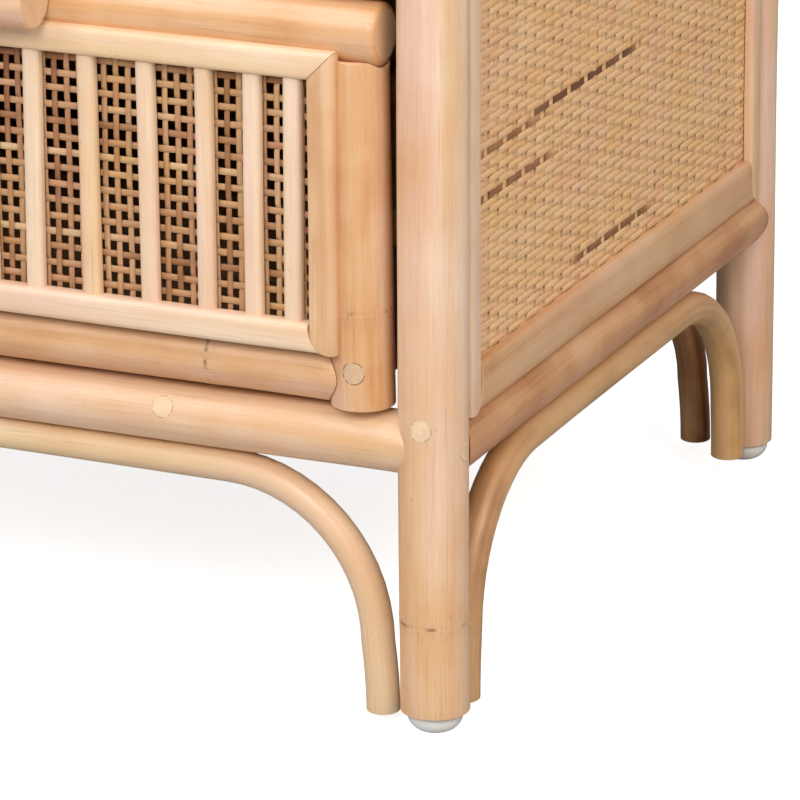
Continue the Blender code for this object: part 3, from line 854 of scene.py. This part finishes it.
def strand(piece, rng, line, side, out, width, thickness, tone, shade):
    """One flat strip along a line."""
    count = len(STRAND)
    across = STRAND[:, 0] * width
    depth = (STRAND[:, 1] - 0.5) * thickness
    points = line[:, None] + across[:, None] * side + depth[:, None] * out
    grain = np.stack(np.broadcast_arrays(lengths(line)[:, None], across, depth), 2) + rng.uniform(0, 9, 3)
    faces = tube_faces(len(line), count)
    shades = np.outer(shade, STRAND_SHADE_SHARES)
    piece.add(points, faces, [0] * len(faces), grain, FAR, np.repeat(tone, count), shades)


def weave_places(size, pitch):
    """The middles of the strands that fill a width."""
    count = int(size / pitch)
    return (np.arange(count) - (count - 1) / 2) * size / count


def crossing_rows(places, half, reach, rim):
    """Samples along a strand: place, level from over (1) to under (-1), and painted shade.

    It dives under every second strand that it crosses, within reach of that one's middle as a share
    of the pitch, and most of the painted shade gathers on one side of the dive, as if lit from the
    other. Where it passes over, rim is the painted shade at the ends of the part that is seen.
    """
    pitch = places[1] - places[0]
    over = np.array(((0.0, 1.0, 0.0),))
    if rim:
        over = np.array(((-0.42, 1.0, rim), (-0.2, 1.0, 0.0), (0.2, 1.0, 0.0), (0.42, 1.0, rim)))
    # The third column is painted shade: half on the way down, full on the way back up
    down = (-reach - 0.09, 1.0, 0.0), (-reach, 0.0, 0.5), (-reach + 0.12, -1.0, 0.5)
    rise = (reach - 0.12, -1.0, 1.0), (reach, 0.0, 1.0), (reach + 0.10, 1.0, 0.9), (reach + 0.20, 1.0, 0.0)
    under = np.array(down + rise)
    sets = []
    for first in (0, 1):
        rows = [np.array(((-half, 0.0, 0.5), (half, 0.0, 0.5)))]
        for index, place in enumerate(places):
            samples = under if index % 2 == first else over
            rows.append(samples * (pitch, 1, 1) + (place, 0, 0))
        rows = np.concatenate(rows)
        rows = rows[np.abs(rows[:, 0]) <= half]
        sets.append(rows[np.argsort(rows[:, 0])])
    return sets


def weave(panel, name, body, nodes, slot, skin, direction, own, other, swing, thickness, tones, rim=0.0):
    """One set of strands of a plain weave, made as two pieces.

    The panel is its middle, three directions (across and up lie in it, out points away) and its size;
    own and other are (pitch, width) of this set and of the other.
    """
    middle, across, up, out, size = panel
    rng = seeded(name)
    half_along, half_across = (item / 2 for item in size[:: 1 if direction == "weft" else -1])
    along, side = (across, up) if direction == "weft" else (up, across)
    places = weave_places(2 * half_across, own[0])
    crossed = weave_places(2 * half_along, other[0])
    reach = (other[1] + thickness) / other[0] / 2
    sets = crossing_rows(crossed, half_along, min(reach, MOST_REACH), rim)
    turn = 0 if direction == "weft" else 1
    flip = np.sign(np.dot(np.cross(along, side), out))
    pieces = (Piece(), Piece())
    for index, place in enumerate(places):
        rows, level, dive_shade = sets[(index + turn) % 2].T
        drift = rng.uniform(0, 6, 2)
        sway = own[0] * 0.035 * np.sin(rows * 70 + drift[0]) + rng.normal(0, own[0] * 0.02)
        lift = swing * level + rng.normal(0, 0.00002) + 0.00003 * np.sin(rows * 55 + drift[1])
        line = middle + np.outer(rows, along) + np.outer(place + sway, side)
        line = line + np.outer(lift, out)
        width = own[1] * rng.uniform(0.94, 1.03)
        tone = tones(rng, rows)
        strand(pieces[index % 2], rng, line, side * flip, out, width, thickness, tone, dive_shade)
    for piece, part in zip(pieces, ("even", "odd")):
        piece.finish(f"{name}_{part}", body, nodes, slot, skin, STRAND_SHARP)


def plain_tones(rng, rows, middle=0.77, spread=0.05):
    """One tone for a whole strand."""
    return np.clip(np.full(len(rows), rng.normal(middle, spread)), 0, 1)


def stake_tones(rng, rows):
    """The mat's standing strands, a little deeper in tone, partly as painted shade where they show between
    diving lying strands.
    """
    return plain_tones(rng, rows, 0.60, 0.03)


def mat_tones(rng, rows):
    """The mat's lying strands: pale, a few of them brown in part."""
    tone = plain_tones(rng, rows)
    if rng.uniform() < 0.09:
        brown = rng.uniform(0.0, 0.34)
        first, last = np.sort(rng.uniform(rows[0] * 1.4, rows[-1] * 1.4, 2))
        if last - first < 0.08:
            last = first + 0.12
        inside = np.clip((rows - first) / 0.02, 0, 1) * np.clip((last - rows) / 0.02, 0, 1)
        tone = tone + (brown - tone) * inside
    return np.clip(tone, 0, 1)


def cane_tones(rng, rows):
    """The cane's strands, each drifting a little in tone."""
    return np.clip(rng.normal(0.54, 0.2) + 0.08 * np.sin(rows * 30 + rng.uniform(0, 6)), 0, 1)


# Pitch and width of the mats' lying and standing strands, their thickness and swing
WEFT = (0.0034, 0.00348)
WARP = (0.0106, 0.0044)
MAT_THICKNESS = 0.00022
MAT_SWING = 0.00011
# Depth of the weave's middle and of the board's front under the CAD mat's face
WEAVE_DEPTH = 0.0006
BOARD_SINK = 0.0004
SHEET_EDGE = 0.0004
# The painted shade at the ends of a standing strand's visible parts, under the lying ones beside them
STAKE_RIM_SHADE = 0.8
# The same measures for the cane
CANE_UPRIGHT = (0.0059, 0.0027)
CANE_CROSS = (0.0070, 0.0031)
CANE_THICKNESS = 0.0004
CANE_SWING = 0.00028


def sheet(piece, middle, across, up, out, size, thickness):
    """A flat sheet with cut edges; middle is the middle of its front."""
    edge = SHEET_EDGE
    loops = []
    for inset, depth in ((edge, 0.0), (0.0, edge), (0.0, thickness - edge), (edge, thickness)):
        half_a, half_b = size[0] / 2 - inset, size[1] / 2 - inset
        for a, b in ((-half_a, -half_b), (half_a, -half_b), (half_a, half_b), (-half_a, half_b)):
            loops.append(middle + across * a + up * b - out * depth)
    faces = [[0, 1, 2, 3], [15, 14, 13, 12]]
    for row in (0, 4, 8):
        for item in range(4):
            beside = (item + 1) % 4
            faces.append([row + beside, row + item, row + 4 + item, row + 4 + beside])
    piece.add(loops, faces, [0] * len(faces), loops)


def make_mats():
    """The mats, and the thin boards behind those of the walls."""
    walls = [(f"mat_{side}", Y * sign, Z, X * sign, 1) for side, sign in SIDES]
    walls.append(("mat_back", -X, Z, Y, 0))
    walls.append(("mat_top", X, Y, Z, None))
    for node, across, up, out, board_axis in walls:
        low, high = corners(node)
        sizes = high - low
        thickness = abs(np.dot(sizes, out))
        middle = (low + high) / 2 + out * (thickness / 2 - WEAVE_DEPTH)
        size = (abs(np.dot(sizes, across)), abs(np.dot(sizes, up)))
        if board_axis is not None:
            board = Piece()
            depth = thickness - WEAVE_DEPTH - BOARD_SINK
            sheet(board, middle - out * BOARD_SINK, across, up, out, size, depth)
            board.finish(f"rattan_{node}_board", "frame", [node], "board", (BOARDS[board_axis],))
        panel = (middle, across, up, out, size)
        what = ("frame", [node], "mat", (MAT,))
        lying = ("weft", WEFT, WARP, MAT_SWING, MAT_THICKNESS, mat_tones)
        stakes = ("warp", WARP, WEFT, MAT_SWING / 5, MAT_THICKNESS, stake_tones, STAKE_RIM_SHADE)
        weave(panel, f"rattan_{node}_weft", *what, *lying)
        weave(panel, f"rattan_{node}_warp", *what, *stakes)


# The drawers

# A drawer front's battens and slats: widths, depth, fullness, how far a slat runs under the battens,
# and the slats' uneven places from the middle
FRONT_BATTEN = 0.0135
FRONT_FULLNESS = 0.45
SLAT_WIDTH = 0.0089
SLAT_DEPTH = 0.0044
SLAT_FULLNESS = 0.68
SLAT_TUCK = 0.003
SLAT_OFFSETS = (0.0138, 0.0376, 0.0648, 0.0938, 0.1217, 0.1441, 0.1630)


def make_slats(drawer):
    """The upright slats, in pairs, with small chance differences."""
    low, high = corners(f"{drawer}_grille")
    back_y = high[1] - 0.0001
    reach = FRONT_BATTEN - SLAT_TUCK
    rng = seeded(f"{drawer}_slats")
    piece = Piece()
    for offset in SLAT_OFFSETS:
        for sign in (-1, 1):
            x = sign * offset + rng.normal(0, 0.0003)
            lean = rng.normal(0, 0.0004)
            start = at(x - lean, back_y, low[2] + reach)
            end = at(x + lean, back_y, high[2] - reach)
            width, depth = SLAT_WIDTH * rng.uniform(0.94, 1.06), SLAT_DEPTH * rng.uniform(0.94, 1)
            size = (width, depth, SLAT_FULLNESS)
            batten(piece, rng, start, end, -Y, size, FLAT_ENDS, rng.uniform(0.58, 0.85))
    piece.finish(f"rattan_{drawer}_slats", drawer, [f"{drawer}_grille"], "pale_pole", PALE_SKIN)


def make_cane(drawer):
    low, high = corners(f"{drawer}_cane")
    size = (high[0] - low[0], high[2] - low[2])
    panel = ((low + high) / 2, X, Z, -Y, size)
    what = (drawer, [f"{drawer}_cane"], "cane", (CANE,))
    looks = (CANE_SWING, CANE_THICKNESS, cane_tones)
    weave(panel, f"rattan_{drawer}_cane_weft", *what, "weft", CANE_CROSS, CANE_UPRIGHT, *looks)
    weave(panel, f"rattan_{drawer}_cane_warp", *what, "warp", CANE_UPRIGHT, CANE_CROSS, *looks)


# How far a stile's foot leans out, and its shoulders' depth below the top pole's middle
STILE_LEAN = 0.0010
STILE_SHOULDER = 0.0106


def make_drawer(drawer):
    """One drawer's front: poles, pull, grille and the cane behind it."""
    node = f"{drawer}_top_pole"
    top = centre(node)
    top_radius = radius(node, 2)
    rattan_pole(node, drawer, *lying_ends(node), Y, top_radius, FLAT_ENDS, TOP_POLE_EDGE)
    stile_x = []
    for side, _ in SIDES:
        node = f"{drawer}_stile_{side}"
        x = centre(node)[0]
        stile_x.append(x)
        lean = STILE_LEAN * np.sign(x)
        start = at(x + lean, top[1], corners(node)[0][2])
        end = at(x - lean, top[1], top[2])
        cuts = (flat_cut, cope_cut(top_radius, STILE_SHOULDER))
        rattan_pole(node, drawer, start, end, Y, radius(node, 0), cuts)
    node = f"{drawer}_bottom_pole"
    middle = centre(node)
    ends = [at(x + STILE_LEAN * 0.8 * np.sign(x), *middle[1:]) for x in stile_x]
    cut = cope_cut(radius(f"{drawer}_stile_left", 0))
    rattan_pole(node, drawer, *ends, Y, radius(node, 2), (cut, cut))
    node = f"{drawer}_pull"
    rattan_pole(node, drawer, *lying_ends(node), Y, radius(node, 2), FLAT_ENDS, PULL_EDGE)
    shape = ((FRONT_BATTEN, FRONT_BATTEN), FRONT_FULLNESS)
    frame_battens(f"{drawer}_grille", drawer, (X, Z, -Y), *shape, PALE_SKIN, "pale_pole", True)
    make_slats(drawer)
    make_cane(drawer)


# Glides, plugs and the plain boards

# A glide's flat foot and straight rim, and the smallest step off the floor
GLIDE_FLAT = 0.0045
GLIDE_RIM = 0.0016
GLIDE_EDGE = 0.0004
OFF_FLOOR = 0.00001


def make_glides():
    """Smooth turned domes under the legs."""
    steps = np.linspace(0, pi / 2, 12)
    for end in ENDS:
        for side, _ in SIDES:
            node = f"glide_{end}_{side}"
            low, high = corners(node)
            x, y, _ = centre(node)
            size = (high[0] - low[0]) / 2
            rim = high[2] - GLIDE_RIM
            drop = rim - low[2] - OFF_FLOOR
            profile = [(size * 0.4, high[2]), (size - GLIDE_EDGE, high[2]), (size, high[2] - GLIDE_EDGE)]
            profile += [(GLIDE_FLAT + (size - GLIDE_FLAT) * cos(t), rim - drop * sin(t)) for t in steps]
            profile.append((GLIDE_FLAT * 0.5, low[2] + OFF_FLOOR))
            points = [(x + r * cos(t), y + r * sin(t), z) for r, z in profile for t in turns(ROUND_SIDES)]
            faces = tube_faces(len(profile), ROUND_SIDES, True)
            faces.append(list(range(ROUND_SIDES)))
            last = (len(profile) - 1) * ROUND_SIDES
            faces.append([last + item for item in reversed(range(ROUND_SIDES))])
            piece = Piece()
            piece.add(points, faces, [0] * len(faces), points)
            piece.finish(f"rattan_{node}", "frame", [node], "white_plastic", (PLASTIC,))


PLUG_RADIUS = 0.0052
PLUG_LIFT = 0.00008
PLUG_SIDES = 40
# Rings of a plug as shares of its radius, and their lifts as shares of PLUG_LIFT
PLUG_RINGS = (0.0, 0.2, 0.45, 0.7, 0.88, 0.96, 1.0, 1.03)
PLUG_LIFTS = (1.0, 1.0, 1.0, 0.95, 0.85, 0.5, 0.0, -2.0)
# Where the plugs sit: above the side rail's middle on a leg, in from the middle on the front rail,
# above the bottom pole's middle on a stile, and off the stile's middle
PLUG_ON_LEG = 0.0147
PLUG_ON_RAIL = 0.0975
PLUG_ON_STILE = 0.0046
PLUG_OFF_STILE = 0.0008


def add_plug(piece, rng, pole_name, place, out, along, tone):
    """A round plug that follows the pole's surface, a little proud of it."""
    mesh = bpy.data.objects[pole_name].data
    vertices = [vertex.co for vertex in mesh.vertices]
    tree = BVHTree.FromPolygons(vertices, [face.vertices for face in mesh.polygons])
    side = np.cross(along, out)
    rings = np.array(PLUG_RINGS) * PLUG_RADIUS
    points = []
    grain = []
    offset = rng.uniform(0, 9, 3)
    for size, lift in zip(rings, np.array(PLUG_LIFTS) * PLUG_LIFT):
        for turn in turns(PLUG_SIDES):
            a, b = size * cos(turn), size * sin(turn)
            origin = place + out * 0.03 + along * a + side * b
            hit = tree.ray_cast(Vector(origin), Vector(-out))[0]
            points.append(np.array(hit) + out * lift)
            grain.append(offset + (a, b, 0))
    faces = tube_faces(len(rings), PLUG_SIDES, True)
    piece.add(points, faces, [0] * len(faces), grain, np.repeat(rings, PLUG_SIDES), tone)


def make_plugs():
    """Plugs over the screws that hold the poles together."""
    groups = {"frame": [], "lower_drawer": [], "upper_drawer": []}
    front_rail, side_rail = centre("rail_lower_front"), centre("rail_lower_right")
    for side, sign in SIDES:
        leg = centre(f"leg_front_{side}")
        name = f"rattan_leg_front_{side}"
        on_rail = front_rail + X * sign * PLUG_ON_RAIL
        groups["frame"] += (
            (name, at(leg[0], leg[1], side_rail[2] + PLUG_ON_LEG), -Y, Z, 0.95),
            (name, at(leg[0], leg[1], front_rail[2]), X * sign, Z, 0.85),
            ("rattan_rail_lower_front", on_rail, unit(Z * 0.42 - Y), X, 0.80),
        )
        for drawer in ("lower_drawer", "upper_drawer"):
            x = centre(f"{drawer}_stile_{side}")[0] + PLUG_OFF_STILE * sign
            y = centre(f"{drawer}_top_pole")[1]
            z = centre(f"{drawer}_bottom_pole")[2] + PLUG_ON_STILE
            turned = unit(X * 0.12 * sign - Y)
            groups[drawer].append((f"rattan_{drawer}_stile_{side}", at(x, y, z), turned, Z, 0.1))
    for body, plugs in groups.items():
        rng = seeded(body)
        piece = Piece()
        for name, place, out, along, tone in plugs:
            add_plug(piece, rng, name, place, out, along, tone)
        piece.finish(f"rattan_{body}_plugs", body, [], "pale_pole", (PLUG,))


BOARD_EDGE = 0.0006


def keep_boards():
    """The plain boards stay as in CAD, with softened edges and wood along their length."""
    boards = {"top_board": 0}
    for level in ("lower", "upper"):
        boards.update({f"{level}_drawer_back": 0, f"{level}_drawer_floor": 0})
        for side, _ in SIDES:
            boards.update({f"{level}_drawer_side_{side}": 1, f"runner_{level}_{side}": 1})
    for node, axis in boards.items():
        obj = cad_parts[node]
        obj.data.materials.clear()
        obj.data.materials.append(BOARDS[axis])
        weld = obj.modifiers.new("weld", "WELD")
        weld.merge_threshold = 0.00001
        soft = obj.modifiers.new("soft_edges", "BEVEL")
        soft.width = BOARD_EDGE
        soft.segments = 2
        soft.limit_method = "ANGLE"
        soft.angle_limit = radians(50)


# The stage: camera, floor and lights

# Place and lens in metres and millimetres; turn about Z, tilt down and roll in radians
CAMERA_PLACE = (1.0818, -2.1515, 0.8886)
CAMERA_TURN = 0.4183
CAMERA_TILT = 0.3297
CAMERA_ROLL = -0.0067
CAMERA_LENS = 235.28


def make_camera():
    flat = cos(CAMERA_TILT)
    back = at(sin(CAMERA_TURN) * flat, -cos(CAMERA_TURN) * flat, sin(CAMERA_TILT))
    level = at(cos(CAMERA_TURN), sin(CAMERA_TURN), 0.0)
    upright = np.cross(back, level)
    right = cos(CAMERA_ROLL) * level + sin(CAMERA_ROLL) * upright
    up = cos(CAMERA_ROLL) * upright - sin(CAMERA_ROLL) * level
    data = bpy.data.cameras.new("camera")
    data.sensor_width = 36
    data.lens = CAMERA_LENS
    camera = put("camera", data)
    turn = Matrix((right, up, back)).transposed().to_4x4()
    camera.matrix_world = Matrix.Translation(CAMERA_PLACE) @ turn
    bpy.context.scene.camera = camera


def make_plane(name, z, grey, glow):
    """A plain floor; glow is its own light."""
    mesh = bpy.data.meshes.new(name)
    mesh.from_pydata([(-6, -6, z), (6, -6, z), (6, 6, z), (-6, 6, z)], [], [(0, 1, 2, 3)])
    m = Material(name, roughness=0.9)
    m.shader.inputs["Emission Color"].default_value = (1.0, 1.0, 1.0, 1.0)
    m.shader.inputs["Emission Strength"].default_value = glow
    cloud = m.noise(m.place(), (3, 3, 3))
    mesh.materials.append(m.finish(m.mix(cloud, srgb(grey, grey, grey), srgb(grey + 6, grey + 6, grey + 6))))
    plane = put(name, mesh)
    return plane


def make_floor():
    """A white floor for the eye, and just under it one that throws light up at the object."""
    seen = make_plane("floor", 0.0, 238, FLOOR_GLOW)
    seen.visible_diffuse = False
    seen.visible_glossy = False
    seen.visible_shadow = False
    bounce = make_plane("floor_bounce", -0.001, 178, 0.0)
    bounce.visible_camera = False


FLOOR_GLOW = 0.8
WORLD_GLOW = 0.34
WHITE = (1.0, 1.0, 1.0)
# Name, place, width, power and colour of each light; all are aimed at LIGHT_AIM
LIGHT_AIM = (0.0, 0.0, 0.3)
LIGHTS = (
    ("key", (-1.4, -2.4, 2.0), 1.2, 15, WHITE),
    ("overhead", (-0.7, -0.8, 2.4), 1.3, 15, WHITE),
    ("front", (0.6, -2.7, 1.9), 1.4, 44, WHITE),
    ("fill", (1.9, -0.9, 1.7), 1.2, 23, (1.0, 0.86, 0.72)),
)


def make_lights():
    for name, place, size, power, colour in LIGHTS:
        data = bpy.data.lights.new(name, "AREA")
        data.shape = "DISK"
        data.size = size
        data.energy = power
        data.color = colour
        light = put(name, data)
        light.location = place
        aim = Vector(LIGHT_AIM) - Vector(place)
        light.rotation_euler = aim.to_track_quat("-Z", "Y").to_euler()
    world = bpy.data.worlds.new("studio")
    world.use_nodes = True
    ground = world.node_tree.nodes["Background"]
    ground.inputs["Color"].default_value = (1.0, 1.0, 1.0, 1.0)
    ground.inputs["Strength"].default_value = WORLD_GLOW
    bpy.context.scene.world = world
    bpy.context.scene.view_settings.view_transform = "Standard"


make_legs()
make_rails()
make_border()
make_arches()
make_batten_frames()
make_mats()
make_drawer("lower_drawer")
make_drawer("upper_drawer")
make_glides()
make_plugs()
keep_boards()
make_camera()
make_floor()
make_lights()
